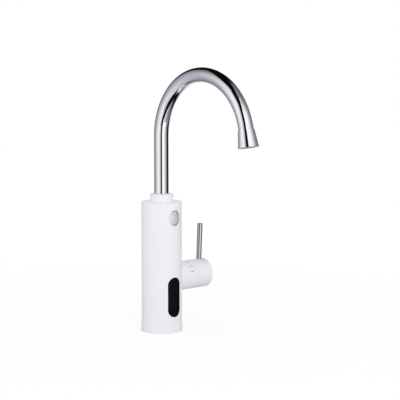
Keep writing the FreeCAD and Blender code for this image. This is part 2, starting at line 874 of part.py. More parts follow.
def chamber_shell():
    pot = rod(shell_r, chamber_top - chamber_flange_z, on_axis(chamber_flange_z))
    pot = pot.makeFillet(chamber_round, round_edges(pot, chamber_top, "Z", shell_r))
    inner_top = chamber_top - chamber_wall
    room = rod(shell_r - chamber_wall, inner_top - chamber_flange_z, on_axis(chamber_flange_z))
    room = room.makeFillet(
        chamber_round - chamber_wall, round_edges(room, inner_top, "Z", shell_r - chamber_wall)
    )
    flange = rod(chamber_flange_r, chamber_flange_thickness, on_axis(chamber_flange_z))
    neck = rod(chamber_neck_d / 2, chamber_neck_length, on_axis(chamber_top))
    neck_bore = rod(chamber_neck_bore_d / 2, chamber_neck_length + 2 * chamber_wall, on_axis(inner_top))
    probe = rod(sensor_d / 2 + fit_gap, shell_r, Vector(0, 0, sensor_z()), -X_AXIS)
    holes = [
        rod(chamber_screw_d / 2 + fit_gap, chamber_flange_thickness, place)
        for place in chamber_screw_places(chamber_flange_z)
    ]
    return cut(fuse(pot, flange, neck), room, neck_bore, probe, *holes)


def chamber_screws():
    seat_z = chamber_flange_z + chamber_flange_thickness
    head_d = chamber_flange_width - 2 * fit_gap
    length = seat_z - chamber_floor
    return Part.makeCompound(
        [
            screw(chamber_screw_d, head_d, screw_head_height, length, seat, Z_AXIS)
            for seat in chamber_screw_places(seat_z)
        ]
    )


def hairpin(top_z, turn):
    # a heating rod bent into a tall U, its legs on the diagonal of the base
    half = element_offset * math.sqrt(2)
    bottom = chamber_floor - element_tail
    bend_z = top_z - half
    legs = [rod(element_d / 2, bend_z - bottom, Vector(side * half, 0, bottom)) for side in (-1, 1)]
    section = Part.Face(Part.Wire([Part.makeCircle(element_d / 2, Vector(half, 0, bend_z))]))
    bend = section.revolve(on_axis(bend_z), -Y_AXIS, 180)
    rod_loop = fuse(legs[0], bend, legs[1])
    rod_loop.rotate(Vector(), Z_AXIS, turn)
    return rod_loop


def heating_element():
    top = chamber_top - chamber_wall - element_top_gap
    return Part.makeCompound([hairpin(top, 45), hairpin(top - element_step, -45)])


def terminal_bridge():
    top = chamber_floor - element_tail
    reach = element_offset + bridge_width / 2
    return block(
        Vector(element_offset - bridge_width / 2, -reach, top - bridge_thickness),
        Vector(element_offset + bridge_width / 2, reach, top),
    )


def heater_leads():
    top = chamber_floor - element_tail
    leads = []
    for side in (-1, 1):
        y = side * element_offset
        points = [
            Vector(-element_offset, y, top),
            Vector(-element_offset, y, top - lead_bend - fit_gap),
            Vector(control_board_mid, y, top - lead_bend - fit_gap),
            Vector(control_board_mid, y, control_board_top),
        ]
        leads.append(bent_wire(points, lead_bend, lead_d))
    return Part.makeCompound(leads)


def thermal_cutout():
    z = chamber_top - cutout_below_top
    end_y = math.sqrt((bore_r - wall_gap) ** 2 - (cutout_d / 2) ** 2)
    body = rod(cutout_d / 2, end_y, Vector(0, 0, z), Y_AXIS)
    return body.cut(rod(shell_r + fit_gap, cutout_d, on_axis(z - cutout_d / 2)))


def temperature_sensor():
    z = sensor_z()
    end_x = math.sqrt((bore_r - wall_gap) ** 2 - (sensor_head_d / 2) ** 2)
    head = rod(sensor_head_d / 2, end_x, Vector(0, 0, z), -X_AXIS)
    head = head.cut(rod(shell_r + fit_gap, sensor_head_d, on_axis(z - sensor_head_d / 2)))
    probe_start = shell_r - sensor_reach
    probe = rod(sensor_d / 2, end_x - probe_start, Vector(-probe_start, 0, z), -X_AXIS)
    return fuse(head, probe)


# Control electronics and display


def control_board():
    return block(
        Vector(control_board_x, -control_board_half, control_board_bottom),
        Vector(control_board_x + board_thickness, control_board_half, control_board_top),
    )


def on_control_board(width, depth, height, bottom):
    face = control_board_x + board_thickness
    return block(Vector(face, -width / 2, bottom), Vector(face + depth, width / 2, bottom + height))


def power_relay():
    return on_control_board(relay_width, relay_depth, relay_height, relay_bottom)


def terminal_block():
    return on_control_board(block_width, block_depth, block_height, block_bottom)


def display_lens():
    plug = pipe(body_r, bore_r - fit_gap, body_height, Vector())
    plug = plug.common(stadium(window_width, window_bottom, window_top))
    lip = pipe(bore_r - fit_gap, lens_back_r, body_height, Vector())
    lip_shape = stadium(window_width + 2 * lens_lip, window_bottom - lens_lip, window_top + lens_lip)
    lens = fuse(plug, lip.common(lip_shape))
    for height in display_boss_heights:
        lens = lens.cut(rod(display_boss_d / 2 + fit_gap, body_r, Vector(0, -body_r, height), Y_AXIS))
    return lens


def display_module():
    return block(
        Vector(-module_half, module_y, window_mid - module_length / 2),
        Vector(module_half, display_board_y, window_mid + module_length / 2),
    )


def display_board():
    low, high = display_boss_heights
    board = block(
        Vector(-display_board_width / 2, display_board_y, low - display_board_margin),
        Vector(display_board_width / 2, display_board_back, high + display_board_margin),
    )
    for height in display_boss_heights:
        place = Vector(0, display_board_y, height)
        board = board.cut(rod(display_screw_d / 2 + fit_gap, board_thickness, place, Y_AXIS))
    return board


def display_screws():
    seat_y = display_board_back
    head_d = 2 * display_screw_d
    length = display_screw_length + board_thickness
    screws = []
    for height in display_boss_heights:
        seat = Vector(0, seat_y, height)
        screws.append(screw(display_screw_d, head_d, display_screw_head, length, seat, Y_AXIS))
    return Part.makeCompound(screws)


def front_badge():
    ellipse = Part.Ellipse(Vector(0, 0, 0), badge_height / 2, badge_width / 2)
    outline = Part.Face(Part.Wire([ellipse.toShape()]))
    oval = outline.extrude(on_axis(2 * body_r))
    oval.Placement = FreeCAD.Placement(
        Vector(0, 0, badge_z), FreeCAD.Rotation(X_AXIS, 90) * FreeCAD.Rotation(Z_AXIS, 90)
    )
    skin_foot = on_axis(badge_z - badge_height)
    skin = pipe(body_r + badge_thickness, body_r + badge_glue, 2 * badge_height, skin_foot)
    return skin.common(oval)


# Spout bearing and spout


def spout_socket():
    nose_z = socket_bottom - socket_nose
    body = fuse(
        rod(socket_r, lid_z - socket_bottom, on_axis(socket_bottom)),
        rod(socket_flange_d / 2, socket_flange_thickness, on_axis(socket_flange_z)),
        rod(chamber_neck_bore_d / 2 - fit_gap, socket_nose, on_axis(nose_z)),
    )
    bore = rod(socket_bore_r, lid_z - socket_bore_z, on_axis(socket_bore_z))
    return cut(body, bore, rod(water_way_d / 2, socket_bore_z - nose_z, on_axis(nose_z)))


def spout_collar():
    collar = rod(collar_d / 2, collar_height, on_axis(body_height))
    collar = collar.makeFillet(collar_round, round_edges(collar, collar_top, "Z", collar_d / 2))
    thread = rod(socket_r + fit_gap, lid_z - body_height, on_axis(body_height))
    return cut(collar, thread, rod(tube_r + run_gap, collar_height, on_axis(body_height)))


def swivel_washer():
    bottom = insert_top + face_gap
    return pipe(socket_bore_r - fit_gap, tube_r + float_gap, washer_height, on_axis(bottom))


def swivel_seal_places():
    first = insert_bottom + insert_seal_step
    return (on_axis(first), on_axis(first + insert_seal_step))


def swivel_insert():
    body = pipe(insert_r, insert_bore_d / 2, insert_top - insert_bottom, on_axis(insert_bottom))
    seat = rod(tube_r + fit_gap, tube_seat, on_axis(tube_bottom))
    return cut(body, seat, *[seal_groove(insert_r, place) for place in swivel_seal_places()])


def swivel_seals():
    return Part.makeCompound([seal_ring(insert_r, place) for place in swivel_seal_places()])


def gooseneck(radius):
    riser = rod(radius, riser_top - tube_bottom, on_axis(tube_bottom))
    section = Part.Face(Part.Wire([Part.makeCircle(radius, on_axis(riser_top))]))
    bend = section.revolve(bend_centre, X_AXIS, bend_angle)
    tail = to_nozzle(rod(radius, nozzle_socket, Vector()))
    return fuse(riser, bend, tail)


def spout_tube():
    return gooseneck(tube_r).cut(gooseneck(tube_r - tube_wall))


def aerator_top():
    return nozzle_socket + nozzle_stop


def nozzle_shell():
    top_r = nozzle_top_d / 2
    tip_r = nozzle_tip_d / 2
    bead_r = nozzle_lip / 2
    top_edge = Vector(top_r, 0, 0)
    bead_start = Vector(tip_r - bead_r, 0, nozzle_length - nozzle_lip)
    bead_middle = Vector(tip_r, 0, nozzle_length - bead_r)
    bead_end = Vector(tip_r - bead_r, 0, nozzle_length)
    edge = [
        Part.makeLine(Vector(), top_edge),
        Part.makeLine(top_edge, bead_start),
        Part.Arc(bead_start, bead_middle, bead_end).toShape(),
        Part.makeLine(bead_end, on_axis(nozzle_length)),
        Part.makeLine(on_axis(nozzle_length), Vector()),
    ]
    bell = Part.Face(Part.Wire(edge)).revolve(Vector(), Z_AXIS, 360)
    tube_seat_hole = rod(tube_r + fit_gap, nozzle_socket, Vector())
    stop_hole = rod(tube_r - nozzle_stop_overlap, nozzle_length, Vector())
    aerator_seat = rod(aerator_d / 2 + fit_gap, nozzle_length, on_axis(aerator_top()))
    return to_nozzle(cut(bell, tube_seat_hole, stop_hole, aerator_seat))


def aerator_seal():
    inner = tube_r - nozzle_stop_overlap
    return to_nozzle(pipe(aerator_d / 2, inner, aerator_seal_thickness, on_axis(aerator_top())))


def aerator_insert():
    top = aerator_top() + aerator_seal_thickness
    bottom = nozzle_length - aerator_recess
    radius = aerator_d / 2
    cup = rod(radius, bottom - top, on_axis(top))
    cup = cup.cut(rod(radius - aerator_wall, bottom - top - aerator_face, on_axis(top)))
    holes = [rod(aerator_hole_d / 2, nozzle_length, on_axis(top))]
    for ring in range(1, aerator_rings + 1):
        count = 6 * ring
        for index in range(count):
            place = polar(ring * aerator_pitch, 360 * index / count, top)
            holes.append(rod(aerator_hole_d / 2, nozzle_length, place))
    return to_nozzle(cut(cup, *holes))


PIECES = (
    main_housing,
    base_ring,
    base_plate,
    deck_gasket,
    base_screws,
    inlet_fitting,
    inlet_strainer,
    cable_gland,
    flow_switch_housing,
    flow_piston,
    flow_spring,
    reed_switch,
    valve_body,
    cartridge_seal,
    fixed_disc,
    moving_disc,
    cartridge_housing,
    cartridge_nut,
    valve_stem,
    stem_seal,
    side_sleeve,
    sleeve_nut,
    knob_bush,
    control_knob,
    lever_rod,
    knob_set_screw,
    transfer_pipe,
    pipe_seals,
    chamber_base,
    chamber_seal,
    chamber_shell,
    chamber_screws,
    heating_element,
    terminal_bridge,
    heater_leads,
    thermal_cutout,
    temperature_sensor,
    control_board,
    power_relay,
    terminal_block,
    display_lens,
    display_module,
    display_board,
    display_screws,
    front_badge,
    spout_socket,
    spout_collar,
    swivel_washer,
    swivel_insert,
    swivel_seals,
    spout_tube,
    nozzle_shell,
    aerator_seal,
    aerator_insert,
)

os.makedirs("parts", exist_ok=True)
for piece in PIECES:
    piece().exportStep("parts/" + piece.__name__ + ".step")
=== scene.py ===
import json
import math

import bpy
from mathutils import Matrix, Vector


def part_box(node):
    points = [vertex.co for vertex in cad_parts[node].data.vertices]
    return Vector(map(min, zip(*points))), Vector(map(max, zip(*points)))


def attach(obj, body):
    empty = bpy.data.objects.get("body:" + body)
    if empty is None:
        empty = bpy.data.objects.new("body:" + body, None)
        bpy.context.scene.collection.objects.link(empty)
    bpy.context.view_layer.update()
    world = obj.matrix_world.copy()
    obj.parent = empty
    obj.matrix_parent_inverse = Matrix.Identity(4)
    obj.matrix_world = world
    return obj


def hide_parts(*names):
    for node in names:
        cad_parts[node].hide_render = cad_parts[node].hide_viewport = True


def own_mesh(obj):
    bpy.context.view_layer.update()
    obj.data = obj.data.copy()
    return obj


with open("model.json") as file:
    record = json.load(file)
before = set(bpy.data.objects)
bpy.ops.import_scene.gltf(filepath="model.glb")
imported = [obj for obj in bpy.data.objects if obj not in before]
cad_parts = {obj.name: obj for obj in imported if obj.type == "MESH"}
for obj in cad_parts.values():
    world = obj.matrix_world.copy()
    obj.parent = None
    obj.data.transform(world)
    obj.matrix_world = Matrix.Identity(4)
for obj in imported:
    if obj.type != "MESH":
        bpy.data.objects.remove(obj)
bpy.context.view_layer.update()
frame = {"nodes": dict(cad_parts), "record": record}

# Sizes and places that the frame gives, in metres
MM = 0.001
mounts = {mount["name"]: mount for mount in frame["record"]["mounts"]}
body_radius = -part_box("main_housing")[0][1]
sleeve_low, sleeve_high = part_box("side_sleeve")
knob_axis_z = (sleeve_low[2] + sleeve_high[2]) / 2
sleeve_radius = (sleeve_high[2] - sleeve_low[2]) / 2
inlet_y = mounts["inlet_thread"]["pos_m"][1]
inlet_bore_radius = mounts["inlet_thread"]["dims"]["r_mm"] * MM

# Badge
badge_width = 17.0 * MM
badge_height = 22.0 * MM
badge_proud = 0.95 * MM
badge_middle_z = 166.5 * MM
badge_rim = 1.1 * MM
badge_step = 0.45 * MM
badge_dome = 0.4 * MM
badge_rings = 6
badge_corners = 72
badge_edge = 0.16 * MM
badge_edge_steps = 3
badge_edge_angle = 40.0

# Marks on the sleeve, at angles from its top towards the front
mark_x = 41.2 * MM
mark_angles = (22.4, 46.2, 69.1)
mark_length = 4.0 * MM
mark_width = 0.85 * MM
mark_height = 0.06 * MM
mark_end_share = 0.45     # rounding of a mark's ends, as a share of its width
mark_end_steps = 4
numeral_height = 2.8 * MM
numeral_share = 0.7       # a numeral's height as a share of its type size
numeral_gap = 0.7 * MM

# Inlet thread and flow switch spring
thread_pitch = 1.814 * MM
thread_depth = 0.6 * MM
thread_turns = 7
thread_start_z = 0.4 * MM
thread_root = 0.05 * MM   # how far the ridge reaches into the wall
thread_fullness = 0.42    # half the ridge's height as a share of the pitch
thread_corners = 4
spring_wire_radius = 0.4 * MM
spring_coil_radius = 4.5 * MM
spring_turns = 7
spring_wire_corners = 16
turn_steps = 48

# Edges that bend more than this stay sharp
smooth_angle = 35.0

# The middle stretch of a noise pattern, which the finishes use
pattern_low = 0.3
pattern_high = 0.7

# Camera, fitted to the photograph
camera_place = (-1.3259, -1.5818, 0.4347)
camera_turn = (83.236, 0.0, -41.51)
camera_lens = 129.86
camera_sensor = 36.0
camera_clip = 0.05

# Studio
view_azimuth = -39.97
ambient_strength = 0.9
key_power = 11.5
key_size = 1.6
key_place = (-1.1, -1.9, 0.8)
key_aim = (0.0, -0.05, 0.18)
disc_corners = 128
floor_radius = 1.0
floor_z = -0.4 * MM
floor_bounce = 0.735
floor_glow = 0.8
floor_fade_start = 0.15
floor_fade_end = 0.7
tent_radius = 0.5
tent_height = 1.05
tent_middle = (0.0, -0.05)
# brightness of the tent's wall at angles to the right of the camera's direction
wall_shades = (
    (-180, 1.0),
    (-150, 0.05),
    (-125, 0.27),
    (-100, 0.42),
    (-70, 0.79),
    (-45, 0.97),
    (-10, 0.27),
    (15, 1.0),
    (45, 0.99),
    (70, 0.44),
    (95, 0.22),
    (115, 0.17),
    (150, 0.15),
    (180, 1.0),
)
# the same for the sheet on the tent's floor
sheet_shades = (
    (-180, 0.75),
    (-150, 0.07),
    (-110, 0.39),
    (-60, 0.69),
    (-20, 0.35),
    (20, 0.82),
    (60, 0.35),
    (100, 0.16),
    (140, 0.11),
    (180, 0.75),
)
cool_cast = 0.2
# share of that brightness at heights above the floor
wall_fade = ((0.0, 1.0), (0.6, 1.0), (0.9, 0.59), (1.05, 0.78))
sheet_fade = ((0.0, 1.0),)
# brightness of the tent's top at places along a line from the left to the right
top_turn = -11.3
top_shades = (
    (-0.5, 0.3),
    (-0.46, 0.22),
    (-0.42, 0.11),
    (-0.37, 0.05),
    (-0.33, 0.014),
    (-0.29, 0.003),
    (0.165, 0.003),
    (0.225, 0.026),
    (0.27, 0.065),
    (0.32, 0.14),
    (0.37, 0.22),
    (0.451, 0.3),
)
black_shade = 0.003
dark_shade = 0.13
dim_shade = 0.09
card_shade = 1.9
# upright boards, placed ahead of the tap towards the camera and to its right
upright_boards = {
    "front_flag": dict(
        shade=black_shade, ahead=0.47, right=0.02, low_z=0.0, high_z=1.05,
        foot_width=0.131, head_width=0.266, lean=1.4,
    ),
    "high_flag": dict(
        shade=black_shade, ahead=0.465, right=0.024, low_z=0.6, high_z=1.05,
        foot_width=0.2, head_width=0.66, lean=-4.7,
    ),
    "low_flag": dict(
        shade=black_shade, ahead=0.465, right=-0.09, low_z=0.0, high_z=0.14,
        foot_width=0.13, head_width=0.13, lean=0.0,
    ),
    "back_flag": dict(
        shade=black_shade, ahead=-0.3, right=0.045, low_z=0.5, high_z=1.1,
        foot_width=0.71, head_width=0.71, lean=0.0,
    ),
    "back_shade": dict(
        shade=dark_shade, ahead=-0.305, right=0.045, low_z=0.4, high_z=0.51,
        foot_width=0.71, head_width=0.71, lean=0.0,
    ),
}
# boards on the floor: ahead and right place the near end, and the heading is to the right of straight back
floor_boards = {
    "floor_flag": dict(
        shade=black_shade, ahead=0.039, right=0.022, z=-0.1 * MM, length=0.431,
        near_width=0.235, far_width=0.235, heading=180.0,
    ),
    "floor_strip": dict(
        shade=black_shade, ahead=0.02, right=0.06, z=-0.1 * MM, length=0.42,
        near_width=0.07, far_width=0.24, heading=52.0,
    ),
    # painted shade: a dim board on the floor behind the tap, where the tap's own shade lies, which only
    # the chrome sees
    "floor_shade": dict(
        shade=dim_shade, ahead=-0.07, right=-0.035, z=-0.15 * MM, length=0.1,
        near_width=0.31, far_width=0.31, heading=0.0,
    ),
}
# boards by the tent's wall, at angles to the right of the camera's direction
wall_board_radius = 0.46
wall_boards = {
    "side_flag": dict(shade=black_shade, angle=125.0, width=0.46, low_z=0.13, high_z=0.26),
    "lever_card": dict(shade=card_shade, angle=44.0, width=0.15, low_z=0.03, high_z=0.1),
}
# a black board beside the tap that keeps light off the knob's top
knob_flag_place = (0.105, -0.015, 0.165)
knob_flag_size = 0.07


# Patterns that the finishes share


def finish_tree(name):
    finish = bpy.data.materials.new(name)
    finish.use_nodes = True
    tree = finish.node_tree
    return finish, tree, tree.nodes["Principled BSDF"]


def along_piece(tree, stretch):
    # the piece's own coordinates, stretched so that a pattern can run along one axis
    place = tree.nodes.new("ShaderNodeTexCoord")
    mapping = tree.nodes.new("ShaderNodeMapping")
    mapping.inputs["Scale"].default_value = stretch
    tree.links.new(place.outputs["Object"], mapping.inputs["Vector"])
    return mapping.outputs["Vector"]


def mottle(tree, scale, detail=3.0, stretch=(1, 1, 1)):
    noise = tree.nodes.new("ShaderNodeTexNoise")
    noise.inputs["Scale"].default_value = scale
    noise.inputs["Detail"].default_value = detail
    tree.links.new(along_piece(tree, stretch), noise.inputs["Vector"])
    return noise.outputs["Fac"]


def vary(tree, pattern, low, high, socket):
    ranged = tree.nodes.new("ShaderNodeMapRange")
    ranged.inputs["From Min"].default_value = pattern_low
    ranged.inputs["From Max"].default_value = pattern_high
    ranged.inputs["To Min"].default_value = low
    ranged.inputs["To Max"].default_value = high
    tree.links.new(pattern, ranged.inputs["Value"])
    tree.links.new(ranged.outputs["Result"], socket)


def tint(tree, pattern, dark, light, socket):
    ramp = tree.nodes.new("ShaderNodeValToRGB")
    first, last = ramp.color_ramp.elements
    first.position = pattern_low
    first.color = (*dark, 1)
    last.position = pattern_high
    last.color = (*light, 1)
    tree.links.new(pattern, ramp.inputs["Fac"])
    tree.links.new(ramp.outputs["Color"], socket)


def relief(tree, pattern, strength, depth, shader):
    bump = tree.nodes.new("ShaderNodeBump")
    bump.inputs["Strength"].default_value = strength
    bump.inputs["Distance"].default_value = depth
    tree.links.new(pattern, bump.inputs["Height"])
    tree.links.new(bump.outputs["Normal"], shader.inputs["Normal"])


def moulded(name, dark, light, smooth, rough, grain, grain_depth, gloss=0.5):
    # moulded or sprayed plastic: cloudy tone, uneven gloss and a fine orange peel
    finish, tree, shader = finish_tree(name)
    shader.inputs["Specular IOR Level"].default_value = gloss
    clouds = mottle(tree, scale=28.0, detail=4.0)
    tint(tree, clouds, dark, light, shader.inputs["Base Color"])
    wear = mottle(tree, scale=90.0, detail=5.0)
    vary(tree, wear, smooth, rough, shader.inputs["Roughness"])
    peel = mottle(tree, scale=grain, detail=2.0)
    relief(tree, peel, strength=0.25, depth=grain_depth, shader=shader)
    return finish


def metal(name, dark, light, smooth, rough, stretch, grain_depth):
    # metal whose tool marks or brushing follow the stretch of the pattern
    finish, tree, shader = finish_tree(name)
    shader.inputs["Metallic"].default_value = 1.0
    lines = mottle(tree, scale=1.0, detail=4.0, stretch=stretch)
    tint(tree, lines, dark, light, shader.inputs["Base Color"])
    vary(tree, lines, smooth, rough, shader.inputs["Roughness"])
    relief(tree, lines, strength=0.3, depth=grain_depth, shader=shader)
    return finish


# Finishes


def white_plastic():
    return moulded(
        "white_plastic",
        dark=(0.862, 0.855, 0.885),
        light=(0.868, 0.861, 0.891),
        smooth=0.42,
        rough=0.48,
        grain=900.0,
        grain_depth=0.004 * MM,
        gloss=0.22,
    )


def chrome():
    finish, tree, shader = finish_tree("chrome")
    shader.inputs["Metallic"].default_value = 1.0
    smudges = mottle(tree, scale=55.0, detail=6.0)
    tint(tree, smudges, (0.93, 0.935, 0.945), (0.965, 0.97, 0.98), shader.inputs["Base Color"])
    vary(tree, smudges, 0.01, 0.025, shader.inputs["Roughness"])
    ripple = mottle(tree, scale=260.0, detail=2.0)
    relief(tree, ripple, strength=0.1, depth=0.002 * MM, shader=shader)
    return finish


def lever_steel():
    return metal(
        "lever_steel",
        dark=(0.55, 0.523, 0.512),
        light=(0.63, 0.603, 0.592),
        smooth=0.08,
        rough=0.14,
        stretch=(2600, 2600, 25),
        grain_depth=0.002 * MM,
    )


def black_window():
    finish, tree, shader = finish_tree("black_window")
    shader.inputs["Specular IOR Level"].default_value = 0.12
    smears = mottle(tree, scale=70.0, detail=6.0)
    tint(tree, smears, (0.0025, 0.0022, 0.0032), (0.005, 0.0046, 0.0066), shader.inputs["Base Color"])
    vary(tree, smears, 0.06, 0.13, shader.inputs["Roughness"])
    ripple = mottle(tree, scale=400.0, detail=2.0)
    relief(tree, ripple, strength=0.1, depth=0.002 * MM, shader=shader)
    return finish


def badge_silver():
    return metal(
        "badge_silver",
        dark=(0.86, 0.86, 0.88),
        light=(0.94, 0.94, 0.95),
        smooth=0.2,
        rough=0.32,
        stretch=(1800, 1800, 40),
        grain_depth=0.003 * MM,
    )


def badge_field():
    # a silvered field with fine upright lines
    finish, tree, shader = finish_tree("badge_field")
    shader.inputs["Metallic"].default_value = 0.4
    lines = mottle(tree, scale=1.0, detail=4.0, stretch=(2600, 2600, 60))
    tint(tree, lines, (0.74, 0.74, 0.76), (0.8, 0.8, 0.82), shader.inputs["Base Color"])
    vary(tree, lines, 0.3, 0.42, shader.inputs["Roughness"])
    relief(tree, lines, strength=0.2, depth=0.003 * MM, shader=shader)
    return finish


def brass():
    return metal(
        "brass",
        dark=(0.52, 0.36, 0.14),
        light=(0.68, 0.5, 0.22),
        smooth=0.2,
        rough=0.38,
        stretch=(90, 90, 2400),
        grain_depth=0.008 * MM,
    )


def stainless():
    return metal(
        "stainless",
        dark=(0.46, 0.46, 0.47),
        light=(0.6, 0.6, 0.61),
        smooth=0.2,
        rough=0.38,
        stretch=(60, 60, 2200),
        grain_depth=0.006 * MM,
    )


def seal_rubber():
    return moulded(
        "seal_rubber",
        dark=(0.014, 0.014, 0.015),
        light=(0.03, 0.03, 0.032),
        smooth=0.55,
        rough=0.8,
        grain=1600.0,
        grain_depth=0.03 * MM,
    )


def grey_plastic():
    return moulded(
        "grey_plastic",
        dark=(0.2, 0.205, 0.215),
        light=(0.26, 0.265, 0.275),
        smooth=0.4,
        rough=0.58,
        grain=1400.0,
        grain_depth=0.02 * MM,
    )


def ceramic():
    return moulded(
        "ceramic",
        dark=(0.7, 0.68, 0.63),
        light=(0.78, 0.76, 0.71),
        smooth=0.12,
        rough=0.3,
        grain=2000.0,
        grain_depth=0.008 * MM,
    )


def board_green():
    # green lacquer with paler copper tracks under it
    finish, tree, shader = finish_tree("board_green")
    tracks = tree.nodes.new("ShaderNodeTexBrick")
    tracks.inputs["Color1"].default_value = (0.012, 0.11, 0.045, 1)
    tracks.inputs["Color2"].default_value = (0.018, 0.15, 0.06, 1)
    tracks.inputs["Mortar"].default_value = (0.10, 0.28, 0.11, 1)
    tracks.inputs["Scale"].default_value = 260.0
    tracks.inputs["Mortar Size"].default_value = 0.03
    tree.links.new(along_piece(tree, (1, 1, 1)), tracks.inputs["Vector"])
    tree.links.new(tracks.outputs["Color"], shader.inputs["Base Color"])
    vary(tree, mottle(tree, scale=120.0), 0.28, 0.42, shader.inputs["Roughness"])
    relief(tree, tracks.outputs["Fac"], strength=0.3, depth=0.02 * MM, shader=shader)
    return finish


def component_black():
    return moulded(
        "component_black",
        dark=(0.012, 0.012, 0.013),
        light=(0.024, 0.024, 0.026),
        smooth=0.35,
        rough=0.55,
        grain=1800.0,
        grain_depth=0.015 * MM,
    )


def lead_sleeve():
    return moulded(
        "lead_sleeve",
        dark=(0.38, 0.02, 0.015),
        light=(0.5, 0.035, 0.025),
        smooth=0.4,
        rough=0.6,
        grain=1500.0,
        grain_depth=0.02 * MM,
    )


def print_grey():
    return moulded(
        "print_grey",
        dark=(0.12, 0.12, 0.125),
        light=(0.17, 0.17, 0.175),
        smooth=0.4,
        rough=0.55,
        grain=2500.0,
        grain_depth=0.01 * MM,
    )


def make_finishes():
    makers = (
        white_plastic,
        chrome,
        lever_steel,
        black_window,
        badge_silver,
        brass,
        stainless,
        seal_rubber,
        grey_plastic,
        ceramic,
        board_green,
        component_black,
        lead_sleeve,
        print_grey,
        badge_field,
    )
    return {maker.__name__: maker() for maker in makers}


def give_finish(piece, finish):
    piece.data.materials.clear()
    piece.data.materials.append(finish)


def dress_cad_nodes(finishes):
    for row in frame["record"]["subparts"]:
        give_finish(frame["nodes"][row["node"]], finishes[row["material_slot"]])


# Modelling


def clear_selection():
    if bpy.context.object and bpy.context.object.mode != "OBJECT":
        bpy.ops.object.mode_set(mode="OBJECT")
    bpy.ops.object.select_all(action="DESELECT")


def end_edit():
    # all faces are turned outwards before edit mode is left
    bpy.ops.mesh.select_all(action="SELECT")
    bpy.ops.mesh.normals_make_consistent(inside=False)
    bpy.ops.object.mode_set(mode="OBJECT")


def apply_modifiers(piece):
    bpy.context.view_layer.objects.active = piece
    for modifier in list(piece.modifiers):
        bpy.ops.object.modifier_apply(modifier=modifier.name)


def set_in_place(piece, name):
    # the piece's place goes into its mesh, and its object sits at the origin
    clear_selection()
    piece.select_set(True)
    bpy.context.view_layer.objects.active = piece
    bpy.ops.object.transform_apply(location=True, rotation=True, scale=True)
    bpy.ops.object.shade_smooth_by_angle(angle=math.radians(smooth_angle))
    piece.name = name
    piece.data.name = name
    piece.select_set(False)


# Badge


def badge_blank():
    # a flat oval that stands upright on the body's front
    clear_selection()
    bpy.ops.mesh.primitive_circle_add(
        vertices=badge_corners, radius=1.0, fill_type="NGON", location=(0, -body_radius, badge_middle_z)
    )
    plate = bpy.context.object
    plate.rotation_euler = (math.radians(90), 0, 0)
    plate.scale = (badge_width / 2, badge_height / 2, 1)
    bpy.ops.object.transform_apply(location=False, rotation=True, scale=True)
    return plate


def raise_badge():
    # a rim round a sunk field, which rises again in rings to a low dome
    bpy.ops.object.mode_set(mode="EDIT")
    bpy.ops.mesh.select_mode(type="FACE")
    bpy.ops.mesh.select_all(action="SELECT")
    bpy.ops.mesh.extrude_region_move(TRANSFORM_OT_translate={"value": (0, -badge_proud, 0)})
    bpy.ops.mesh.inset(thickness=badge_rim)
    bpy.ops.mesh.inset(thickness=badge_step / 2)
    bpy.ops.transform.translate(value=(0, badge_step, 0))
    for ring in range(badge_rings, 0, -1):
        lift = badge_dome * ring / sum(range(badge_rings + 1))
        narrow = ring / (ring + 1)
        bpy.ops.mesh.extrude_region_move(TRANSFORM_OT_translate={"value": (0, -lift, 0)})
        bpy.ops.transform.resize(value=(narrow, 1, narrow))
    bpy.ops.mesh.poke()
    end_edit()


def bend_badge(plate):
    bevel = plate.modifiers.new("rim_edges", "BEVEL")
    bevel.width = badge_edge
    bevel.segments = badge_edge_steps
    bevel.limit_method = "ANGLE"
    bevel.angle_limit = math.radians(badge_edge_angle)
    bend = plate.modifiers.new("bend_to_body", "SIMPLE_DEFORM")
    bend.deform_method = "BEND"
    bend.deform_axis = "Z"
    bend.angle = badge_width / body_radius
    apply_modifiers(plate)


def dress_badge(plate, finishes):
    # the field inside the rim has its own finish
    give_finish(plate, finishes["badge_silver"])
    plate.data.materials.append(finishes["badge_field"])
    rim_inside = 1 - 2 * (badge_rim + badge_step / 2) / badge_width
    for face in plate.data.polygons:
        across = face.center.x / (badge_width / 2)
        up = (face.center.z - badge_middle_z) / (badge_height / 2)
        if math.hypot(across, up) < rim_inside:
            face.material_index = 1


def badge_plate(finishes):
    # an oval plate with a raised rim and a domed field, bent to the body
    plate = badge_blank()
    raise_badge()
    bend_badge(plate)
    set_in_place(plate, "badge_plate")
    dress_badge(plate, finishes)
    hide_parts("front_badge")
    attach(plate, "body")


# Marks on the sleeve


def mark_seat(angle, x):
    # a point on the sleeve, at an angle from its top towards the front
    lean = math.radians(angle)
    out = Vector((0, -math.sin(lean), math.cos(lean)))
    return Vector((x, 0, knob_axis_z)) + out * (sleeve_radius - mark_height / 2)


def mark_tick(angle):
    # a short bar with round ends along the sleeve
    clear_selection()
    bpy.ops.mesh.primitive_plane_add(size=1.0, location=mark_seat(angle, mark_x))
    tick = bpy.context.object
    tick.scale = (mark_length, mark_width, 1)
    bpy.ops.object.transform_apply(location=False, rotation=False, scale=True)
    bpy.ops.object.mode_set(mode="EDIT")
    bpy.ops.mesh.select_all(action="SELECT")
    bpy.ops.mesh.bevel(offset=mark_width * mark_end_share, segments=mark_end_steps, affect="VERTICES")
    bpy.ops.mesh.select_all(action="SELECT")
    bpy.ops.mesh.extrude_region_move(TRANSFORM_OT_translate={"value": (0, 0, mark_height)})
    end_edit()
    tick.rotation_euler = (math.radians(angle), 0, 0)
    return tick


def mark_numeral(angle, number):
    clear_selection()
    start_x = mark_x + mark_length / 2 + numeral_gap
    bpy.ops.object.text_add(location=mark_seat(angle, start_x), rotation=(math.radians(angle), 0, 0))
    numeral = bpy.context.object
    numeral.data.body = str(number)
    numeral.data.size = numeral_height / numeral_share
    numeral.data.align_y = "CENTER"
    numeral.data.extrude = mark_height / 2
    bpy.ops.object.convert(target="MESH")
    return bpy.context.object


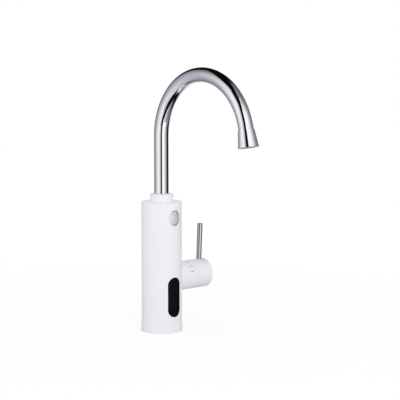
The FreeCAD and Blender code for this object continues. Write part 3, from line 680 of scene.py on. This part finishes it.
def sleeve_marks(finishes):
    # plain numbered steps for the lever
    pieces = []
    for index, angle in enumerate(mark_angles):
        pieces.append(mark_tick(angle))
        pieces.append(mark_numeral(angle, index + 1))
    clear_selection()
    for piece in pieces:
        piece.select_set(True)
    bpy.context.view_layer.objects.active = pieces[0]
    bpy.ops.object.transform_apply(location=True, rotation=True, scale=True)
    bpy.ops.object.join()
    marks = bpy.context.object
    set_in_place(marks, "sleeve_marks")
    give_finish(marks, finishes["print_grey"])
    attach(marks, "body")


# Inlet thread and flow switch spring


def wound_profile(corners, half_width, half_height, radius, foot):
    # a flat outline that stands at a radius from an upright axis through the foot
    clear_selection()
    bpy.ops.mesh.primitive_circle_add(vertices=corners, radius=1.0, location=foot)
    profile = bpy.context.object
    profile.rotation_euler = (math.radians(90), 0, 0)
    profile.scale = (half_width, half_height, 1)
    bpy.ops.object.transform_apply(location=False, rotation=True, scale=True)
    bpy.ops.object.mode_set(mode="EDIT")
    bpy.ops.mesh.select_all(action="SELECT")
    bpy.ops.transform.translate(value=(radius, 0, half_height))
    bpy.ops.object.mode_set(mode="OBJECT")
    return profile


def wind_up(profile, pitch, turns):
    # winds a profile up its own upright axis and closes both ends
    wind = profile.modifiers.new("wind", "SCREW")
    wind.axis = "Z"
    wind.angle = math.radians(360)
    wind.screw_offset = pitch
    wind.iterations = turns
    wind.steps = turn_steps
    wind.render_steps = turn_steps
    wind.use_merge_vertices = True
    apply_modifiers(profile)
    bpy.ops.object.mode_set(mode="EDIT")
    bpy.ops.mesh.select_all(action="DESELECT")
    bpy.ops.mesh.select_mode(type="EDGE")
    bpy.ops.mesh.select_non_manifold()
    bpy.ops.mesh.edge_face_add()
    end_edit()


def inlet_thread(finishes):
    # a ridge that winds up the inlet's bore
    ridge = wound_profile(
        corners=thread_corners,
        half_width=thread_depth / 2 + thread_root,
        half_height=thread_pitch * thread_fullness,
        radius=inlet_bore_radius - thread_depth / 2,
        foot=(0, inlet_y, thread_start_z),
    )
    wind_up(ridge, thread_pitch, thread_turns)
    set_in_place(ridge, "inlet_thread_ridge")
    give_finish(ridge, finishes["brass"])
    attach(ridge, "body")


def spring_coil(finishes):
    # the flow switch's spring, which the piston presses together as it lifts; here it is one fixed coil
    # that stays with the body
    low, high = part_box("flow_spring")
    length = high[2] - low[2]
    coil = wound_profile(
        corners=spring_wire_corners,
        half_width=spring_wire_radius,
        half_height=spring_wire_radius,
        radius=spring_coil_radius,
        foot=(0, inlet_y, low[2]),
    )
    wind_up(coil, (length - 2 * spring_wire_radius) / spring_turns, spring_turns)
    set_in_place(coil, "spring_coil")
    give_finish(coil, finishes["stainless"])
    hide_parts("flow_spring")
    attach(coil, "body")
    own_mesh(coil)


# World and floor


def seen_rays(tree):
    # 1 for rays that show the background itself or its reflection
    path = tree.nodes.new("ShaderNodeLightPath")
    total = path.outputs["Is Camera Ray"]
    for name in ("Is Glossy Ray", "Is Transmission Ray"):
        larger = tree.nodes.new("ShaderNodeMath")
        larger.operation = "MAXIMUM"
        tree.links.new(total, larger.inputs[0])
        tree.links.new(path.outputs[name], larger.inputs[1])
        total = larger.outputs[0]
    return total


def white_world():
    world = bpy.data.worlds.new("studio_white")
    bpy.context.scene.world = world
    world.use_nodes = True
    tree = world.node_tree
    background = tree.nodes["Background"]
    background.inputs["Color"].default_value = (1, 1, 1, 1)
    level = tree.nodes.new("ShaderNodeMapRange")
    level.inputs["To Min"].default_value = ambient_strength
    level.inputs["To Max"].default_value = 1.0
    tree.links.new(seen_rays(tree), level.inputs["Value"])
    tree.links.new(level.outputs["Result"], background.inputs["Strength"])


def floor_white():
    # pale paper that takes the tap's shadow, and fades into the white world further out
    finish = bpy.data.materials.new("floor_white")
    finish.use_nodes = True
    tree = finish.node_tree
    tree.nodes.clear()
    paper = tree.nodes.new("ShaderNodeBsdfDiffuse")
    seen = seen_rays(tree)
    pale = tree.nodes.new("ShaderNodeMapRange")
    pale.inputs["To Min"].default_value = floor_bounce
    pale.inputs["To Max"].default_value = 1.0
    glow = tree.nodes.new("ShaderNodeEmission")
    place = tree.nodes.new("ShaderNodeTexCoord")
    distance = tree.nodes.new("ShaderNodeVectorMath")
    distance.operation = "LENGTH"
    fade = tree.nodes.new("ShaderNodeMapRange")
    fade.inputs["From Min"].default_value = floor_fade_start
    fade.inputs["From Max"].default_value = floor_fade_end
    fade.inputs["To Min"].default_value = floor_glow
    fade.inputs["To Max"].default_value = 1.0
    share = tree.nodes.new("ShaderNodeMath")
    share.operation = "MULTIPLY"
    mixed = tree.nodes.new("ShaderNodeMixShader")
    output = tree.nodes.new("ShaderNodeOutputMaterial")
    tree.links.new(seen, pale.inputs["Value"])
    tree.links.new(pale.outputs["Result"], paper.inputs["Color"])
    tree.links.new(place.outputs["Object"], distance.inputs[0])
    tree.links.new(distance.outputs["Value"], fade.inputs["Value"])
    tree.links.new(fade.outputs["Result"], share.inputs[0])
    tree.links.new(seen, share.inputs[1])
    tree.links.new(share.outputs[0], mixed.inputs["Fac"])
    tree.links.new(paper.outputs["BSDF"], mixed.inputs[1])
    tree.links.new(glow.outputs["Emission"], mixed.inputs[2])
    tree.links.new(mixed.outputs["Shader"], output.inputs["Surface"])
    return finish


def pale_floor():
    clear_selection()
    bpy.ops.mesh.primitive_circle_add(
        vertices=disc_corners, radius=floor_radius, fill_type="NGON", location=(0, 0, floor_z)
    )
    floor = bpy.context.object
    floor.name = "floor"
    give_finish(floor, floor_white())


# Tent whose cloth and boards show in the chrome


def glow_finish(name):
    finish = bpy.data.materials.new(name)
    finish.use_nodes = True
    tree = finish.node_tree
    tree.nodes.clear()
    glow = tree.nodes.new("ShaderNodeEmission")
    output = tree.nodes.new("ShaderNodeOutputMaterial")
    tree.links.new(glow.outputs["Emission"], output.inputs["Surface"])
    return finish, tree, glow


def shade_ramp(tree, stops, low, high, cast):
    # a ramp of slightly blue greys whose stops are given between two values
    ramp = tree.nodes.new("ShaderNodeValToRGB")
    elements = ramp.color_ramp.elements
    elements.remove(elements[1])
    elements[0].position = 0.0
    for index, (place, shade) in enumerate(stops):
        position = (place - low) / (high - low)
        element = elements.new(position) if index else elements[0]
        element.color = (shade, shade, shade + cast * shade * (1 - shade), 1)
    return ramp


def cloth_finish(name, shades, fade_stops):
    # pale cloth whose brightness changes around the tent and with height
    finish, tree, glow = glow_finish(name)
    place = tree.nodes.new("ShaderNodeTexCoord")
    turn = tree.nodes.new("ShaderNodeMapping")
    turn.inputs["Rotation"].default_value = (0, 0, math.radians(90))
    around = tree.nodes.new("ShaderNodeTexGradient")
    around.gradient_type = "RADIAL"
    split = tree.nodes.new("ShaderNodeSeparateXYZ")
    sides = shade_ramp(tree, shades, -180, 180, cool_cast)
    upward = tree.nodes.new("ShaderNodeMapRange")
    upward.inputs["From Max"].default_value = tent_height
    fade = shade_ramp(tree, fade_stops, 0, tent_height, 0)
    tree.links.new(place.outputs["Object"], turn.inputs["Vector"])
    tree.links.new(turn.outputs["Vector"], around.inputs["Vector"])
    tree.links.new(around.outputs["Fac"], sides.inputs["Fac"])
    tree.links.new(place.outputs["Object"], split.inputs["Vector"])
    tree.links.new(split.outputs["Z"], upward.inputs["Value"])
    tree.links.new(upward.outputs["Result"], fade.inputs["Fac"])
    tree.links.new(sides.outputs["Color"], glow.inputs["Color"])
    tree.links.new(fade.outputs["Color"], glow.inputs["Strength"])
    return finish


def top_finish():
    # the tent's top, dark in the middle and paler to the sides
    finish, tree, glow = glow_finish("top_cloth")
    place = tree.nodes.new("ShaderNodeTexCoord")
    split = tree.nodes.new("ShaderNodeSeparateXYZ")
    across = tree.nodes.new("ShaderNodeMapRange")
    across.inputs["From Min"].default_value = -tent_radius
    across.inputs["From Max"].default_value = tent_radius
    ramp = shade_ramp(tree, top_shades, -tent_radius, tent_radius, cool_cast)
    tree.links.new(place.outputs["Object"], split.inputs["Vector"])
    tree.links.new(split.outputs["X"], across.inputs["Value"])
    tree.links.new(across.outputs["Result"], ramp.inputs["Fac"])
    tree.links.new(ramp.outputs["Color"], glow.inputs["Color"])
    return finish


def board_finish(shade):
    finish, _, glow = glow_finish("board_grey")
    glow.inputs["Color"].default_value = (shade, shade, shade, 1)
    return finish


def reflected_only(prop, name, finish):
    # studio furniture that only shows in shiny surfaces
    prop.name = name
    prop.visible_camera = False
    prop.visible_diffuse = False
    prop.visible_transmission = False
    prop.visible_volume_scatter = False
    prop.visible_shadow = False
    give_finish(prop, finish)


def to_camera(ahead, right, z):
    # a point ahead of the tap towards the camera, and to the right as the camera sees it
    angle = math.radians(view_azimuth)
    ahead_way = Vector((math.sin(angle), -math.cos(angle), 0))
    right_way = Vector((math.cos(angle), math.sin(angle), 0))
    return ahead_way * ahead + right_way * right + Vector((0, 0, z))


def by_tent_wall(angle, z):
    # a point just inside the tent's wall, at an angle to the right of the camera's direction
    azimuth = math.radians(view_azimuth + angle)
    outward = Vector((math.sin(azimuth), -math.cos(azimuth), 0))
    return Vector((*tent_middle, z)) + outward * wall_board_radius


def tent_disc(name, z, turn, finish):
    clear_selection()
    bpy.ops.mesh.primitive_circle_add(
        vertices=disc_corners, radius=tent_radius, fill_type="NGON", location=(*tent_middle, z)
    )
    disc = bpy.context.object
    disc.rotation_euler = (0, 0, math.radians(view_azimuth + turn))
    reflected_only(disc, name, finish)


def tent_wall(finish):
    clear_selection()
    bpy.ops.mesh.primitive_circle_add(
        vertices=disc_corners, radius=tent_radius, location=(*tent_middle, 0)
    )
    wall = bpy.context.object
    bpy.ops.object.mode_set(mode="EDIT")
    bpy.ops.mesh.select_all(action="SELECT")
    bpy.ops.mesh.extrude_region_move(TRANSFORM_OT_translate={"value": (0, 0, tent_height)})
    bpy.ops.object.mode_set(mode="OBJECT")
    wall.rotation_euler = (0, 0, math.radians(view_azimuth))
    reflected_only(wall, "tent_wall", finish)


def studio_board(name, shade, near_width, far_width, length, place, turn):
    # a board whose width changes along its length
    clear_selection()
    bpy.ops.mesh.primitive_plane_add(size=1.0)
    board = bpy.context.object
    board.scale = (near_width, length, 1)
    bpy.ops.object.transform_apply(location=False, rotation=False, scale=True)
    for corner in board.data.vertices:
        if corner.co.y > 0:
            corner.co.x *= far_width / near_width
    board.location = place
    board.rotation_euler = [math.radians(angle) for angle in turn]
    reflected_only(board, name, board_finish(shade))


def upright_board(name, shade, ahead, right, low_z, high_z, foot_width, head_width, lean):
    place = to_camera(ahead, right, (low_z + high_z) / 2)
    turn = (90, lean, view_azimuth)
    studio_board(name, shade, foot_width, head_width, high_z - low_z, place, turn)


def floor_board(name, shade, ahead, right, z, length, near_width, far_width, heading):
    way = math.radians(heading)
    middle_ahead = ahead - math.cos(way) * length / 2
    middle_right = right + math.sin(way) * length / 2
    place = to_camera(middle_ahead, middle_right, z)
    turn = (0, 0, view_azimuth - heading)
    studio_board(name, shade, near_width, far_width, length, place, turn)


def wall_board(name, shade, angle, width, low_z, high_z):
    place = by_tent_wall(angle, (low_z + high_z) / 2)
    turn = (90, 0, view_azimuth + angle)
    studio_board(name, shade, width, width, high_z - low_z, place, turn)


def studio_tent():
    tent_wall(cloth_finish("wall_cloth", wall_shades, wall_fade))
    tent_disc("tent_floor", floor_z / 2, 0, cloth_finish("floor_sheet", sheet_shades, sheet_fade))
    tent_disc("tent_top", tent_height, top_turn, top_finish())
    for name, sizes in upright_boards.items():
        upright_board(name, **sizes)
    for name, sizes in floor_boards.items():
        floor_board(name, **sizes)
    for name, sizes in wall_boards.items():
        wall_board(name, **sizes)


# Light and camera


def knob_flag():
    # it shades dull surfaces only, and shows neither to the camera nor in the chrome
    clear_selection()
    bpy.ops.mesh.primitive_plane_add(size=knob_flag_size, location=knob_flag_place)
    board = bpy.context.object
    board.name = "knob_flag"
    aim = Vector((mark_x, 0, knob_axis_z)) - Vector(knob_flag_place)
    board.rotation_euler = aim.to_track_quat("-Z", "Y").to_euler()
    board.visible_camera = False
    board.visible_glossy = False
    board.visible_transmission = False
    give_finish(board, board_finish(black_shade))


def soft_light():
    clear_selection()
    bpy.ops.object.light_add(type="AREA", location=key_place)
    lamp = bpy.context.object
    lamp.name = "soft_front_light"
    lamp.data.shape = "DISK"
    lamp.data.size = key_size
    lamp.data.energy = key_power
    lamp.visible_glossy = False
    aim = Vector(key_aim) - Vector(key_place)
    lamp.rotation_euler = aim.to_track_quat("-Z", "Y").to_euler()


def photo_camera():
    data = bpy.data.cameras.new("photo_camera")
    data.lens = camera_lens
    data.sensor_width = camera_sensor
    data.clip_start = camera_clip
    camera = bpy.data.objects.new("photo_camera", data)
    camera.location = camera_place
    camera.rotation_euler = [math.radians(angle) for angle in camera_turn]
    bpy.context.scene.collection.objects.link(camera)
    bpy.context.scene.camera = camera


finishes = make_finishes()
dress_cad_nodes(finishes)
badge_plate(finishes)
sleeve_marks(finishes)
inlet_thread(finishes)
spring_coil(finishes)
white_world()
pale_floor()
studio_tent()
knob_flag()
soft_light()
photo_camera()
bpy.context.scene.view_settings.view_transform = "Standard"
